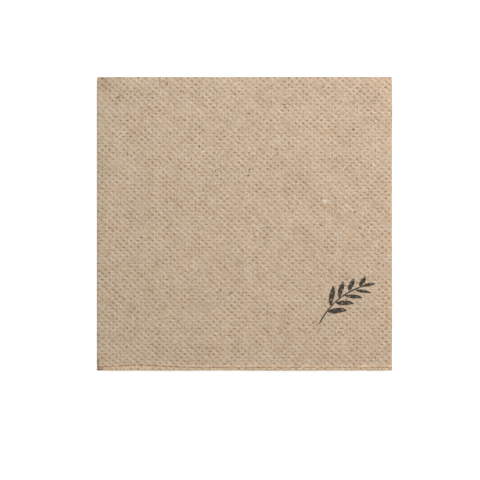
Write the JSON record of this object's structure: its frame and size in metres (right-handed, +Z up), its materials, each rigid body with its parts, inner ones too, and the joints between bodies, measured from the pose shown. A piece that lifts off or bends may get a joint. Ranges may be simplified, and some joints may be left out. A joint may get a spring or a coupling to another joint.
{
  "type": "paper napkin",
  "caption": "Square paper napkin of embossed unbleached tissue, folded in quarters, to wipe hands and lips or to stand a glass on.",
  "frame": {"origin": "middle of the underside, on the surface that the napkin lies on", "axes": "+X from the second fold to the open side, +Y from the open front to the first fold, +Z up through the leaves"},
  "size_m": [0.1, 0.1, 0.003],
  "materials": {
    "kraft_tissue": "unbleached two-ply tissue, point embossed, matt"
  },
  "bodies": {
    "root": {"napkin": "kraft_tissue"}
  },
  "joints": []
}
